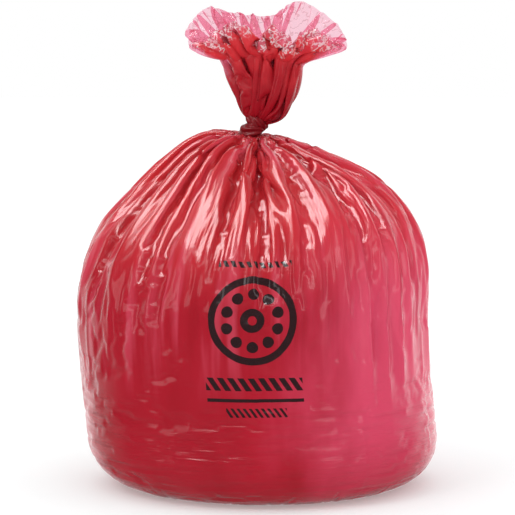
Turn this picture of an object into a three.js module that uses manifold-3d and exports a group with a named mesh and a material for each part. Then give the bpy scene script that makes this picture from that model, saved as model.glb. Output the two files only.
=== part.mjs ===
// A filled and tied film bag for clinic waste, standing on its own base.
// Millimetres, +Z up, front towards -Y, the middle of its footprint's box at the origin.
// The film is one piece: it lies round the load, gathers into a neck, is knotted in itself,
// and opens above the knot into the pleated ruff of its own mouth. The load is one plain core.
import * as THREE from 'three';
import { mergeVertices } from 'three/addons/utils/BufferGeometryUtils.js';
import Module from 'manifold-3d';

// Film, as it lies when crumpled
const FILM_WALL = 2;
const NECK_BORE_RADIUS = 1.5;

// Body
const BODY_WIDTH = 478;
const BODY_DEPTH = 462;
const HEEL_WIDTH = 73;
const HEEL_HEIGHT = 68;
const SHOULDER_HEIGHT = 250;
const NECK_HEIGHT = 478;
const NECK_RADIUS = 14;
const WAIST_HEIGHT = 165;
const WAIST_SPREAD = 55;
const WAIST_PINCH = 4;
const SWAY = 8;
const SWAY_TOP_HEIGHT = 240;
const SWAY_FADE_HEIGHT = 100;
const BODY_PLEATS = 15;
const BODY_PLEAT_DEPTH = 15;
const BODY_PLEATS_START = 8;
const BODY_PLEATS_FULL = 45;
const BODY_PLEATS_RADIUS = 88;

// Knot
const KNOT_HEIGHT = 30;
const KNOT_STRAND_RADIUS = 7.5;
const KNOT_WRAP_RADIUS = NECK_RADIUS - 1.5;
const KNOT_LOW_TILT = 28;
const KNOT_HIGH_TILT = -24;
const KNOT_OFFSET = 2.5;
const KNOT_LOW_SHARE = 0.36;
const KNOT_HIGH_SHARE = 0.72;

// Ruff above the knot. Its right is +X and its back is +Y.
const FUNNEL_RADIUS = 42;
const FUNNEL_SHARE = 0.6;
const FLARE_SHARE = 0.5;
const RIM_RADIUS = 84;
const RIM_SPREAD = 26;
const RIM_LEAN = 12;
const RUFF_HEIGHT = 108;
const RUFF_BACK_RISE = 26;
const RUFF_PEAK_RISE = 16;
const RUFF_PLEATS = 10;
const RUFF_PLEAT_DEPTH = 5.5;
const RUFF_PLEATS_SHARE = 0.9;
const RUFF_FLOOR_HEIGHT = 14;
const POUCH_DEPTH = 17;
const POUCH_DROP = 12;
const POUCH_ANGLE = -28;
const POUCH_HALF_ANGLE = 42;
const POUCH_SHARE = 0.55;
const POUCH_START = 0.12;

// Load
const LOAD_CLEARANCE = 0.4;
const LOAD_HEADSPACE = 40;
const AIR_DEPTH = 40;
const AIR_ANGLE = -12;
const AIR_LOW_HEIGHT = 80;
const AIR_FULL_HEIGHT = 260;

// How finely the shapes are cut into faces
const SEGMENTS = 60;
const HEEL_ROWS = 5;
const SIDE_ROWS = 7;
const DOME_ROWS = 12;
const RUFF_ROWS = 11;
const WRAP_SIDES = 10;
const WRAP_SEGMENTS = 22;
const SLOPE_STEP = 0.02;

const BODY_RADIUS = BODY_WIDTH / 2;
const BASE_RADIUS = BODY_RADIUS - HEEL_WIDTH;
const RUFF_BASE_HEIGHT = NECK_HEIGHT + KNOT_HEIGHT;

const wasm = await Module();
wasm.setup();

const smooth = (low, high, value) => THREE.MathUtils.smoothstep(value, low, high);
const radians = THREE.MathUtils.degToRad;

// A row is one ring of points: place(angle) gives the point of the ring at that angle round +Z.
// Rings are turned by a lathe, bottom to top on an outer face, and then moved to their places.
function turn(rows) {
  const outline = rows.map((row, index) => new THREE.Vector2(row.pole ? 0 : 1, index));
  const geometry = new THREE.LatheGeometry(outline, SEGMENTS);
  const position = geometry.getAttribute('position');
  for (let column = 0; column <= SEGMENTS; column += 1) {
    const angle = ((column % SEGMENTS) / SEGMENTS) * 2 * Math.PI - Math.PI / 2;
    rows.forEach((row, index) => {
      const point = row.place(angle);
      position.setXYZ(column * rows.length + index, point.x, point.y, point.z);
    });
  }
  return closed(geometry);
}

// The same faces with shared corners, which a solid needs.
function closed(geometry) {
  const bare = new THREE.BufferGeometry();
  bare.setAttribute('position', geometry.getAttribute('position'));
  bare.setIndex(geometry.getIndex());
  return mergeVertices(bare, 1e-3);
}

function toSolid(geometry) {
  return new wasm.Manifold(new wasm.Mesh({
    numProp: 3,
    vertProperties: new Float32Array(geometry.getAttribute('position').array),
    triVerts: new Uint32Array(geometry.getIndex().array),
  }));
}

function toGeometry(solid) {
  const mesh = solid.getMesh();
  const geometry = new THREE.BufferGeometry();
  geometry.setAttribute('position', new THREE.BufferAttribute(mesh.vertProperties, 3));
  geometry.setIndex(new THREE.BufferAttribute(mesh.triVerts, 1));
  geometry.computeVertexNormals();
  return geometry;
}

// The body leans a little one way at the base and the other way higher up, as a slack bag does.
function sway(height) {
  const wave = Math.cos((Math.PI * height) / SWAY_TOP_HEIGHT);
  const fade = 1 - smooth(NECK_HEIGHT - SWAY_FADE_HEIGHT, NECK_HEIGHT, height);
  return SWAY * wave * fade;
}

// The body is a little flatter at its front and back than a round one, but not at the neck.
function bodyPoint(reach, angle, height) {
  const flatter = ((BODY_WIDTH - BODY_DEPTH) / 2) * smooth(NECK_RADIUS, BASE_RADIUS, reach);
  return new THREE.Vector3(
    reach * Math.cos(angle) + sway(height),
    (reach - flatter) * Math.sin(angle),
    height,
  );
}

// A ring of the body. The pleats fall inwards from the outline, along its normal.
function bodyRow(radius, height, normal, pleatShare) {
  const pinch = WAIST_PINCH * Math.exp(-(((height - WAIST_HEIGHT) / WAIST_SPREAD) ** 2));
  const slack = height > HEEL_HEIGHT ? pinch : 0;
  const place = (angle) => {
    const pleat = (pleatShare * BODY_PLEAT_DEPTH * (1 - Math.cos(BODY_PLEATS * angle))) / 2;
    return bodyPoint(radius - slack - pleat * normal.x, angle, height - pleat * normal.y);
  };
  return { place };
}

function bodyPole(height) {
  return { pole: true, place: () => new THREE.Vector3(sway(height), 0, height) };
}

// Rings from the rim of the flat base up to the shoulder, inset from the film's outer face.
function lowerRows(inset) {
  const rows = [];
  const rise = HEEL_HEIGHT - inset;
  for (let step = 0; step <= HEEL_ROWS; step += 1) {
    const turned = ((step / HEEL_ROWS) * Math.PI) / 2;
    const normal = new THREE.Vector2(Math.sin(turned), -Math.cos(turned));
    const radius = BASE_RADIUS + (HEEL_WIDTH - inset) * normal.x;
    rows.push(bodyRow(radius, HEEL_HEIGHT + rise * normal.y, normal, 0));
  }
  for (let step = 1; step <= SIDE_ROWS; step += 1) {
    const height = THREE.MathUtils.lerp(HEEL_HEIGHT, SHOULDER_HEIGHT, step / SIDE_ROWS);
    rows.push(bodyRow(BODY_RADIUS - inset, height, new THREE.Vector2(1, 0), 0));
  }
  return rows;
}

// Rings of the pleated dome from the shoulder in to the neck.
function domeRows(inset, neckRadius) {
  const rows = [];
  const reach = BODY_RADIUS - inset - neckRadius;
  const rise = NECK_HEIGHT - inset - SHOULDER_HEIGHT;
  for (let step = 1; step <= DOME_ROWS; step += 1) {
    const turned = ((step / DOME_ROWS) * Math.PI) / 2;
    const radius = neckRadius + reach * Math.cos(turned);
    const normal = new THREE.Vector2(Math.cos(turned), Math.sin(turned));
    const below = smooth(radians(BODY_PLEATS_START), radians(BODY_PLEATS_FULL), turned);
    const share = below * smooth(neckRadius, BODY_PLEATS_RADIUS, radius);
    rows.push(bodyRow(radius, SHOULDER_HEIGHT + rise * Math.sin(turned), normal, share));
  }
  return rows;
}

// How far round and how high the rim stands at an angle.
function rim(angle) {
  return {
    radius: RIM_RADIUS + RIM_LEAN * Math.cos(angle) + RIM_SPREAD * Math.cos(2 * angle),
    height: RUFF_HEIGHT + RUFF_BACK_RISE * Math.sin(angle) + RUFF_PEAK_RISE * Math.sin(2 * angle),
  };
}

// The pouch is the one slack fold that hangs out beside the knot.
function pouch(angle, share) {
  const turned = Math.atan2(Math.sin(angle - radians(POUCH_ANGLE)), Math.cos(angle - radians(POUCH_ANGLE)));
  const round = Math.exp(-((turned / radians(POUCH_HALF_ANGLE)) ** 2));
  const rise = Math.sin(Math.PI * Math.min(1, share / POUCH_SHARE + POUCH_START));
  return round * rise * smooth(0, POUCH_START, share);
}

// Radius and height on the ruff's outer face: share is 0 at the knot and 1 at the rim.
function ruffOutline(angle, share) {
  const edge = rim(angle);
  const funnel = (FUNNEL_RADIUS - NECK_RADIUS) * Math.sin((Math.PI / 2) * Math.min(1, share / FUNNEL_SHARE));
  const flare = (edge.radius - FUNNEL_RADIUS) * Math.max(0, (share - FLARE_SHARE) / (1 - FLARE_SHARE)) ** 2;
  const pleat = RUFF_PLEAT_DEPTH * Math.cos(RUFF_PLEATS * angle) * smooth(0, RUFF_PLEATS_SHARE, share);
  const hang = pouch(angle, share);
  return new THREE.Vector2(
    NECK_RADIUS + funnel + flare + pleat + POUCH_DEPTH * hang,
    RUFF_BASE_HEIGHT + edge.height * share - POUCH_DROP * hang * (1 - share),
  );
}

// A ring of the ruff, inset from its outer face along the face's normal.
function ruffRow(share, inset) {
  const place = (angle) => {
    const point = ruffOutline(angle, share);
    const before = ruffOutline(angle, share - SLOPE_STEP);
    const along = ruffOutline(angle, share + SLOPE_STEP).sub(before).normalize();
    const radius = point.x - along.y * inset;
    const height = point.y + along.x * inset;
    return new THREE.Vector3(radius * Math.cos(angle), radius * Math.sin(angle), height);
  };
  return { place };
}

function plainRow(radius, height) {
  return { place: (angle) => new THREE.Vector3(radius * Math.cos(angle), radius * Math.sin(angle), height) };
}

// The film as one closed surface: up its outer face to the rim, then down inside the ruff,
// through the neck's bore and round the inside of the body.
function filmRows() {
  const floor = RUFF_FLOOR_HEIGHT / RUFF_HEIGHT;
  const outer = [];
  const inner = [];
  for (let step = 0; step <= RUFF_ROWS; step += 1) {
    outer.push(ruffRow(step / RUFF_ROWS, 0));
    inner.push(ruffRow(floor + (1 - floor) * (1 - step / RUFF_ROWS), FILM_WALL));
  }
  return [
    bodyPole(0),
    ...lowerRows(0),
    ...domeRows(0, NECK_RADIUS),
    ...outer,
    ...inner,
    plainRow(NECK_BORE_RADIUS, RUFF_BASE_HEIGHT + RUFF_FLOOR_HEIGHT / 2),
    ...domeRows(FILM_WALL, NECK_BORE_RADIUS).reverse(),
    ...lowerRows(FILM_WALL).reverse(),
    bodyPole(FILM_WALL),
  ];
}

// One turn of the knot round the neck, tilted about Y.
function knotWrap(tilt, height, offset) {
  const wrap = new THREE.TorusGeometry(KNOT_WRAP_RADIUS, KNOT_STRAND_RADIUS, WRAP_SIDES, WRAP_SEGMENTS);
  wrap.rotateY(radians(tilt));
  wrap.translate(offset, 0, height);
  return toSolid(closed(wrap));
}

function makeFilm() {
  const low = knotWrap(-KNOT_LOW_TILT, NECK_HEIGHT + KNOT_HEIGHT * KNOT_LOW_SHARE, -KNOT_OFFSET);
  const high = knotWrap(-KNOT_HIGH_TILT, NECK_HEIGHT + KNOT_HEIGHT * KNOT_HIGH_SHARE, KNOT_OFFSET);
  const film = toSolid(turn(filmRows())).add(low).add(high);
  const material = new THREE.MeshStandardMaterial({ color: 0xb0243c, roughness: 0.25, metalness: 0 });
  const mesh = new THREE.Mesh(toGeometry(film), material);
  mesh.name = 'film_bag';
  return mesh;
}

// A ring of the load, which leaves a pocket of air on one side of the bag.
function loadRow(radius, height) {
  const place = (angle) => {
    const facing = 0.5 + 0.5 * Math.cos(angle - radians(AIR_ANGLE));
    const air = AIR_DEPTH * facing * smooth(AIR_LOW_HEIGHT, AIR_FULL_HEIGHT, height);
    const pinch = WAIST_PINCH * Math.exp(-(((height - WAIST_HEIGHT) / WAIST_SPREAD) ** 2));
    return bodyPoint(radius - (air + pinch) * Math.min(1, radius / BASE_RADIUS), angle, height);
  };
  return { place };
}

// The load fills the body's base and ends in a lower dome under the pleats.
function makeLoad() {
  const inset = FILM_WALL + LOAD_CLEARANCE;
  const radius = BODY_RADIUS - inset;
  const rise = NECK_HEIGHT - LOAD_HEADSPACE - SHOULDER_HEIGHT;
  const rows = [bodyPole(inset)];
  for (let step = 0; step <= HEEL_ROWS; step += 1) {
    const turned = ((step / HEEL_ROWS) * Math.PI) / 2;
    const heelRadius = BASE_RADIUS + (HEEL_WIDTH - inset) * Math.sin(turned);
    rows.push(loadRow(heelRadius, HEEL_HEIGHT - (HEEL_HEIGHT - inset) * Math.cos(turned)));
  }
  for (let step = 1; step <= SIDE_ROWS; step += 1) {
    rows.push(loadRow(radius, THREE.MathUtils.lerp(HEEL_HEIGHT, SHOULDER_HEIGHT, step / SIDE_ROWS)));
  }
  for (let step = 1; step < DOME_ROWS; step += 1) {
    const turned = ((step / DOME_ROWS) * Math.PI) / 2;
    rows.push(loadRow(radius * Math.cos(turned), SHOULDER_HEIGHT + rise * Math.sin(turned)));
  }
  rows.push(bodyPole(SHOULDER_HEIGHT + rise));
  const material = new THREE.MeshStandardMaterial({ color: 0x9c8f8c, roughness: 0.9, metalness: 0 });
  const mesh = new THREE.Mesh(toGeometry(toSolid(turn(rows))), material);
  mesh.name = 'waste_load';
  return mesh;
}

const bag = new THREE.Group();
bag.add(makeFilm(), makeLoad());
const middle = new THREE.Box3().setFromObject(bag, true).getCenter(new THREE.Vector3());
bag.position.set(-middle.x, -middle.y, 0);

export default bag;
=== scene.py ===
"""The looks of a filled and knotted film bag for clinic waste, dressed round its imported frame.

Metres, +Z up, front towards -Y. The film is one thin skin in three pieces that meet in the knot: the body,
the knot's own turns and the open ruff above it. Inside the body stands the load.
"""
import math

import bpy
import numpy as np
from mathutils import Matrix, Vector


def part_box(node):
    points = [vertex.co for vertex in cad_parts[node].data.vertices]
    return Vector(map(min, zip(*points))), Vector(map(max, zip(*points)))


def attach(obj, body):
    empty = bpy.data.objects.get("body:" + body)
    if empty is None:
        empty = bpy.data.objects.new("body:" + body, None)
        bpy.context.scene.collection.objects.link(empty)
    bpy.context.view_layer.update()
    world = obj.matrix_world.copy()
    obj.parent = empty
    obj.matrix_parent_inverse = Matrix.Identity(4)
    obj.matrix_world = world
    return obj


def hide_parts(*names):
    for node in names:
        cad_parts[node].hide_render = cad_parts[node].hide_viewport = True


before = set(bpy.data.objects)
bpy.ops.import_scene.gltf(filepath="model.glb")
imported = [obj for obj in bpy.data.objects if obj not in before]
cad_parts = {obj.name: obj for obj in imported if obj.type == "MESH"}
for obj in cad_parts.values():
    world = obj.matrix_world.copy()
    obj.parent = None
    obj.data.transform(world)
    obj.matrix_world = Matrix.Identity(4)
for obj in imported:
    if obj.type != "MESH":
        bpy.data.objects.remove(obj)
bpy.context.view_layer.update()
load_low, load_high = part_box("waste_load")

# Body of the bag
BODY_WIDTH = 0.478
BODY_DEPTH = 0.462
BODY_RADIUS = BODY_WIDTH / 2
HEEL_WIDTH = 0.073
HEEL_HEIGHT = 0.068
BASE_RADIUS = BODY_RADIUS - HEEL_WIDTH
SHOULDER_HEIGHT = 0.250
NECK_HEIGHT = 0.478
NECK_RADIUS = 0.012
SWAY = 0.008
SWAY_TOP_HEIGHT = 0.240
SWAY_FADE_HEIGHT = 0.100

# The middle of the footprint's box, which the frame has at its origin, lies this far from the neck.
AXIS_X = 0.001

# The left shoulder stands higher than the right one, which bulges a little lower down. The body
# counts as left or right from where the cosine of its angle passes SIDE_START.
SIDE_START = 0.2
SHOULDER_RISE = 0.10
LEFT_LIFT = 0.013
RIGHT_DROP = 0.006
SHOULDER_REACH = 0.085
SHOULDER_SPREAD = 0.050
RIGHT_BULGE = 0.007
RIGHT_BULGE_HEIGHT = 0.345
RIGHT_BULGE_SPREAD = 0.060

# Knot and ruff
KNOT_X = -0.003
RUFF_LOW = 0.500

# How finely the film is cut into faces
FILM_COLUMNS = 480
BASE_ROWS = 8
HEEL_ROWS = 36
SIDE_ROWS = 56
DOME_ROWS = 108
RUFF_ROWS = 88

# The film's true girth
FILM_GIRTH = 1.55

# How the film settles: the steps from coarse to fine, then for each step, the finest first, its rounds and
# stiffness. SQUEEZE is how much film resists when it is pushed together, next to when it is pulled.
BODY_STEPS = 1
BODY_ROUNDS = (150, 320)
BODY_BEND = (0.01, 0.02)
BODY_SQUEEZE = 0.7
BODY_PUSH = 0.000004
RUFF_STEPS = 2
RUFF_ROUNDS = (110, 140, 160)
RUFF_BEND = (0.05, 0.08, 0.12)
RUFF_SQUEEZE = 0.5
SLANT_STRETCH = 0.5
SLANT_SQUEEZE = 0.25

# Brightness of the studio round the bag
WORLD_LIGHT = 1.0
TENT_DARK = 0.03
TENT_BRIGHT = 1.5
GROUND_BRIGHT = 0.22
LOW_TENT_SHARE = 0.1

# The photograph's view
VIEW_ELEVATION = math.radians(7.5)
VIEW_DISTANCE = 5.0
VIEW_TARGET = Vector((0.0, 0.0, 0.3096))
VIEW_WIDTH = 0.700


def clear_selection():
    if bpy.context.mode != "OBJECT":
        bpy.ops.object.mode_set(mode="OBJECT")
    bpy.ops.object.select_all(action="DESELECT")


def smooth(low, high, value):
    share = np.clip((value - low) / (high - low), 0, 1)
    return share * share * (3 - 2 * share)


def bell(distance, width):
    return np.exp(-((distance / width) ** 2))


def turned_by(turn, middle):
    """The angle from middle to turn, between minus and plus half a turn."""
    return np.arctan2(np.sin(turn - middle), np.cos(turn - middle))


class Grain:
    """Smooth random heights between -1 and 1 in space, the same on each run."""

    CELLS = 32

    def __init__(self, seed):
        self.values = np.random.default_rng(seed).uniform(-1, 1, (self.CELLS,) * 3)

    def at(self, x, y, z):
        total = 0
        cells, shares = [], []
        for place in (x, y, z):
            low = np.floor(place)
            share = place - low
            cells.append(low.astype(int))
            shares.append(share * share * (3 - 2 * share))
        for corner in range(8):
            steps = [corner >> axis & 1 for axis in range(3)]
            weight = 1
            index = []
            for step, cell, share in zip(steps, cells, shares):
                weight = weight * (share if step else 1 - share)
                index.append((cell + step) % self.CELLS)
            total = total + weight * self.values[tuple(index)]
        return total


def skin(name, grid, cut_places=None):
    """A thin skin through a grid of points, whose rows run round +Z and close on themselves.

    cut_places gives each point's place on the film as it was cut, for what is printed on it.
    """
    clear_selection()
    rows, columns = grid.shape[0] - 1, grid.shape[1]
    bpy.ops.mesh.primitive_grid_add(x_subdivisions=columns, y_subdivisions=rows, size=1)
    piece = bpy.context.object
    piece.name = name
    piece.data.name = name
    count = len(piece.data.vertices)
    flat = np.zeros(count * 3)
    piece.data.vertices.foreach_get("co", flat)
    flat = flat.reshape(-1, 3)
    column = np.rint((flat[:, 0] + 0.5) * columns).astype(int) % columns
    row = np.rint((flat[:, 1] + 0.5) * rows).astype(int)
    piece.data.vertices.foreach_set("co", grid[row, column].astype(float).ravel())
    if cut_places is not None:
        places = piece.data.attributes.new("cut_place", "FLOAT_VECTOR", "POINT")
        places.data.foreach_set("vector", cut_places[row, column].astype(float).ravel())
    bpy.ops.object.mode_set(mode="EDIT")
    bpy.ops.mesh.select_all(action="SELECT")
    bpy.ops.mesh.remove_doubles(threshold=1e-7)
    bpy.ops.object.mode_set(mode="OBJECT")
    bpy.ops.object.shade_smooth()
    return piece


# Slack film

def draw_together(first, second, true_length, stretch, squeeze):
    """Moves pairs of points towards their true distance. Film gives way less when pulled than when pushed."""
    gap = second - first
    length = np.sqrt(np.einsum("ijk,ijk->ij", gap, gap))[..., None] + 1e-9
    share = (length - true_length) / length
    gap *= np.where(share > 0, share * (0.5 * stretch), share * (0.5 * squeeze))
    first += gap
    second -= gap


def outward(points):
    """The way out of the film at each of its points."""
    across = np.roll(points, -1, 1) - np.roll(points, 1, 1)
    along = np.gradient(points, axis=0)
    normal = np.cross(across, along)
    return normal / (np.sqrt(np.einsum("ijk,ijk->ij", normal, normal))[..., None] + 1e-9)


def settle(points, across, along, hold, rounds, push, bend, squeeze):
    """Lets film with a true distance across and along each row fold until it fits where hold() lets it be."""
    rows = len(points)
    across, along = across[:, None, None], along[:, None, None]
    slant = np.sqrt((0.5 * (across[1:] + across[:-1])) ** 2 + along**2)
    first_row, last_row = points[0].copy(), points[-1].copy()
    for _ in range(rounds):
        points += outward(points) * push
        for _ in range(2):
            draw_together(points[:, 0::2], points[:, 1::2], across, 1.0, squeeze)
            points = np.roll(points, -1, 1)
        for start in (0, 1):
            stop = start + 2 * ((rows - start) // 2)
            low, high = points[start:stop:2], points[start + 1:stop:2]
            draw_together(low, high, along[start:stop:2], 1.0, squeeze)
            for side in (-1, 1):
                far = np.roll(high, side, 1)
                draw_together(low, far, slant[start:stop:2], SLANT_STRETCH, SLANT_SQUEEZE)
                high[:] = np.roll(far, -side, 1)
        for _ in range(2):
            draw_together(points[:, 0::4], points[:, 2::4], 2 * across, 0.0, bend)
            draw_together(points[:, 1::4], points[:, 3::4], 2 * across, 0.0, bend)
            points = np.roll(points, -2, 1)
        for start in range(4):
            low = points[start:rows - 2:4]
            high = points[start + 2::4][:len(low)]
            near = (along[1:] + along[:-1])[start:rows - 2:4]
            draw_together(low, high, near, 0.0, bend)
        points = np.roll(points, 6, 1)
        points = hold(points)
        points[0] = first_row
        points[-1] = last_row
    return points


def finer(grid):
    """Halves the distance between the points, rows first."""
    middle = 0.5 * (grid[1:] + grid[:-1])
    tall = np.empty((len(grid) + len(middle), *grid.shape[1:]), grid.dtype)
    tall[0::2], tall[1::2] = grid, middle
    wide = np.empty((len(tall), 2 * grid.shape[1], *grid.shape[2:]), grid.dtype)
    wide[:, 0::2] = tall
    wide[:, 1::2] = 0.5 * (tall + np.roll(tall, -1, 1))
    return wide


# Body

def sway(height):
    """The body leans a little one way at the base and the other way higher up."""
    wave = np.cos(math.pi * height / SWAY_TOP_HEIGHT)
    return SWAY * wave * (1 - smooth(NECK_HEIGHT - SWAY_FADE_HEIGHT, NECK_HEIGHT, height))


def body_points(radius, turn, height):
    """Places on the body, which is a little flatter than round in front and behind, but not at the neck."""
    flatter = (BODY_WIDTH - BODY_DEPTH) / 2 * smooth(NECK_RADIUS, BASE_RADIUS, radius)
    left = smooth(SIDE_START, 1.0, -np.cos(turn))
    right = smooth(SIDE_START, 1.0, np.cos(turn))
    in_dome = smooth(SHOULDER_HEIGHT, SHOULDER_HEIGHT + SHOULDER_RISE, height)
    lift = in_dome * (LEFT_LIFT * left - RIGHT_DROP * right) * bell(radius - SHOULDER_REACH, SHOULDER_SPREAD)
    bulge = RIGHT_BULGE * right * bell(height - RIGHT_BULGE_HEIGHT, RIGHT_BULGE_SPREAD)
    return np.stack([
        AXIS_X + (radius + bulge) * np.cos(turn) + sway(height),
        (radius - flatter) * np.sin(turn),
        height + lift,
    ], -1)


def body_rows():
    """Radius and height of each row, from the edge of the base to the neck."""
    rows = []
    for step in range(HEEL_ROWS):
        angle = math.pi / 2 * step / HEEL_ROWS
        rows.append((BASE_RADIUS + HEEL_WIDTH * math.sin(angle), HEEL_HEIGHT * (1 - math.cos(angle))))
    for step in range(SIDE_ROWS):
        rows.append((BODY_RADIUS, HEEL_HEIGHT + (SHOULDER_HEIGHT - HEEL_HEIGHT) * step / SIDE_ROWS))
    for step in range(DOME_ROWS + 1):
        angle = math.pi / 2 * step / DOME_ROWS
        radius = NECK_RADIUS + (BODY_RADIUS - NECK_RADIUS) * math.cos(angle)
        rows.append((radius, SHOULDER_HEIGHT + (NECK_HEIGHT - SHOULDER_HEIGHT) * math.sin(angle)))
    return np.array(rows)


def kept_in_body(points, deepest):
    """Moves points that stand out of the body's room, or that lie deeper in it than the load allows."""
    radius = np.hypot(points[..., 0], points[..., 1]) + 1e-9
    height = points[..., 2]
    top, low = height > SHOULDER_HEIGHT, height < HEEL_HEIGHT
    middle_radius = np.where(top, NECK_RADIUS, np.where(low, BASE_RADIUS, 0.0))
    middle_height = np.where(top, SHOULDER_HEIGHT, np.where(low, HEEL_HEIGHT, height))
    wide = np.where(top, BODY_RADIUS - NECK_RADIUS, np.where(low, HEEL_WIDTH, BODY_RADIUS))
    tall = np.where(top, NECK_HEIGHT - SHOULDER_HEIGHT, HEEL_HEIGHT)
    out = (radius - middle_radius) / wide
    up = (height - middle_height) / tall
    reach = np.sqrt(out**2 + up**2) + 1e-9
    wanted = np.clip(reach, 1 - deepest / wide, 1.0)
    share = np.where(radius > middle_radius, wanted / reach, 1.0)
    new_radius = middle_radius + (radius - middle_radius) * share
    points[..., 0] *= new_radius / radius
    points[..., 1] *= new_radius / radius
    points[..., 2] = np.maximum(0, middle_height + (height - middle_height) * share)
    return points


# Pleats that run down the dome from the neck, each with its own share of the way round, skew, reach and size
PLEATS = 40
PLEAT_DEPTH = 0.026
PLEAT_SEED = 11
PLEAT_GAPS = (0.65, 1.35)
PLEAT_SKEWS = (0.28, 0.72)
PLEAT_REACHES = (0.170, 0.300)
PLEAT_SIZES = (0.45, 1.25)
PLEAT_LEAST = 0.10
PLEAT_START = NECK_RADIUS * 0.6
PLEAT_FULL = 0.075
PLEAT_FADE_SHARE = 0.55
PANEL_TURN = math.radians(-66)
PANEL_GAP = 1.7
PANEL_SPREAD = math.radians(13)

# Panels of the dome that have little slack: their middle, half width and how much less slack
PANELS = (
    (PANEL_TURN, math.radians(12), 2.4),
    (math.radians(-114), math.radians(8), 2.0),
    (math.radians(-150), math.radians(7), 1.6),
    (math.radians(-30), math.radians(9), 1.8),
    (math.radians(70), math.radians(12), 2.0),
    (math.radians(140), math.radians(9), 1.8),
)


def pleat_ridges():
    """The angles of the pleats' ridges round the neck: close together, but for one broad panel in front."""
    random = np.random.default_rng(PLEAT_SEED)
    gaps = random.uniform(*PLEAT_GAPS, PLEATS)
    for index in range(PLEATS):
        middle = (index + 0.5) / PLEATS * 2 * math.pi
        gaps[index] += PANEL_GAP * bell(abs(turned_by(middle, PANEL_TURN)), PANEL_SPREAD)
    ridges = np.concatenate([[0], np.cumsum(gaps)])
    return ridges / ridges[-1] * 2 * math.pi


def pleat_wave(turn):
    """Height of the pleats, 0 on a ridge and -1 between two, and the number of the pleat at each place."""
    ridges = pleat_ridges()
    turn = turn % (2 * math.pi)
    index = np.clip(np.searchsorted(ridges, turn, side="right") - 1, 0, PLEATS - 1)
    share = (turn - ridges[index]) / (ridges[index + 1] - ridges[index])
    random = np.random.default_rng(PLEAT_SEED + 1)
    skew = random.uniform(*PLEAT_SKEWS, PLEATS)[index]
    rising = share / skew
    falling = (1 - share) / (1 - skew)
    tent = np.minimum(rising, falling)
    return tent - 1, index


def pleat_share(radius, index):
    """How much of its depth a pleat keeps at a distance from the neck."""
    random = np.random.default_rng(PLEAT_SEED + 2)
    reach = random.uniform(*PLEAT_REACHES, PLEATS)[index]
    size = random.uniform(*PLEAT_SIZES, PLEATS)[index]
    near = smooth(PLEAT_START, PLEAT_FULL, radius)
    far = 1 - smooth(reach * PLEAT_FADE_SHARE, reach, radius)
    return size * (PLEAT_LEAST + (1 - PLEAT_LEAST) * near) * far


# Long folds that hang from the shoulder: the angle in degrees at the top and at the bottom, the
# top and the bottom height, the half width and how far the fold stands out
LONG_FOLDS = (
    (-78, -74, 0.43, 0.21, 0.010, 0.0030),
    (-71, -66, 0.43, 0.17, 0.011, 0.0075),
    (-62, -57, 0.44, 0.13, 0.012, 0.0090),
    (-55, -49, 0.44, 0.11, 0.009, 0.0085),
    (-47, -42, 0.44, 0.10, 0.009, 0.0090),
    (-40, -34, 0.43, 0.12, 0.009, 0.0085),
    (-33, -27, 0.42, 0.14, 0.010, 0.0040),
    (-14, -12, 0.40, 0.10, 0.012, 0.0045),
    (12, 15, 0.42, 0.12, 0.011, 0.0050),
    (34, 31, 0.43, 0.15, 0.013, 0.0050),
    (63, 66, 0.44, 0.12, 0.012, 0.0055),
    (88, 92, 0.43, 0.18, 0.014, 0.0045),
    (118, 113, 0.43, 0.13, 0.011, 0.0050),
    (141, 147, 0.42, 0.11, 0.012, 0.0050),
    (168, 172, 0.41, 0.16, 0.010, 0.0045),
    (193, 196, 0.40, 0.15, 0.011, 0.0040),
    (214, 219, 0.42, 0.20, 0.010, 0.0035),
    (246, 243, 0.41, 0.24, 0.009, 0.0028),
)

# A long fold's foot is so many half widths wide. From below, the fold rises and fades at these
# shares of its length. Near the neck the radius counts as FOLD_LEAST_RADIUS.
FOLD_FOOT = 2.2
FOLD_SHARPNESS = 1.6
FOLD_RISE = 0.35
FOLD_FADE = 0.75
FOLD_LEAST_RADIUS = 0.05


def long_folds(turn, radius, height):
    total = 0
    for top_turn, low_turn, top, low, width, depth in LONG_FOLDS:
        share = (height - low) / (top - low)
        middle = np.radians(low_turn + (top_turn - low_turn) * share)
        away = np.abs(turned_by(turn, middle)) * np.maximum(radius, FOLD_LEAST_RADIUS)
        ridge = np.maximum(0, 1 - away / (FOLD_FOOT * width)) ** FOLD_SHARPNESS
        ends = smooth(0, FOLD_RISE, share) * (1 - smooth(FOLD_FADE, 1.0, share))
        total = total + depth * ridge * ends
    return total


# Creases from the fold of the flat bag: their angle in degrees, their lowest and highest place
PACK_CREASES = ((-158, 0.16, 0.30), (-55, 0.01, 0.15), (-19, 0.05, 0.32), (161, 0.04, 0.30), (35, 0.02, 0.2))
CREASE_HEIGHT = 0.0011
CREASE_WIDTH = 0.0035
CREASE_LOW_END = 0.03
CREASE_HIGH_END = 0.04


def pack_creases(turn, radius, height):
    total = 0
    for middle, low, high in PACK_CREASES:
        away = np.abs(turned_by(turn, math.radians(middle))) * radius
        start = smooth(low, low + CREASE_LOW_END, height)
        end = 1 - smooth(high - CREASE_HIGH_END, high, height)
        total = total + CREASE_HEIGHT * bell(away, CREASE_WIDTH) * start * end
    return total


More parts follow.
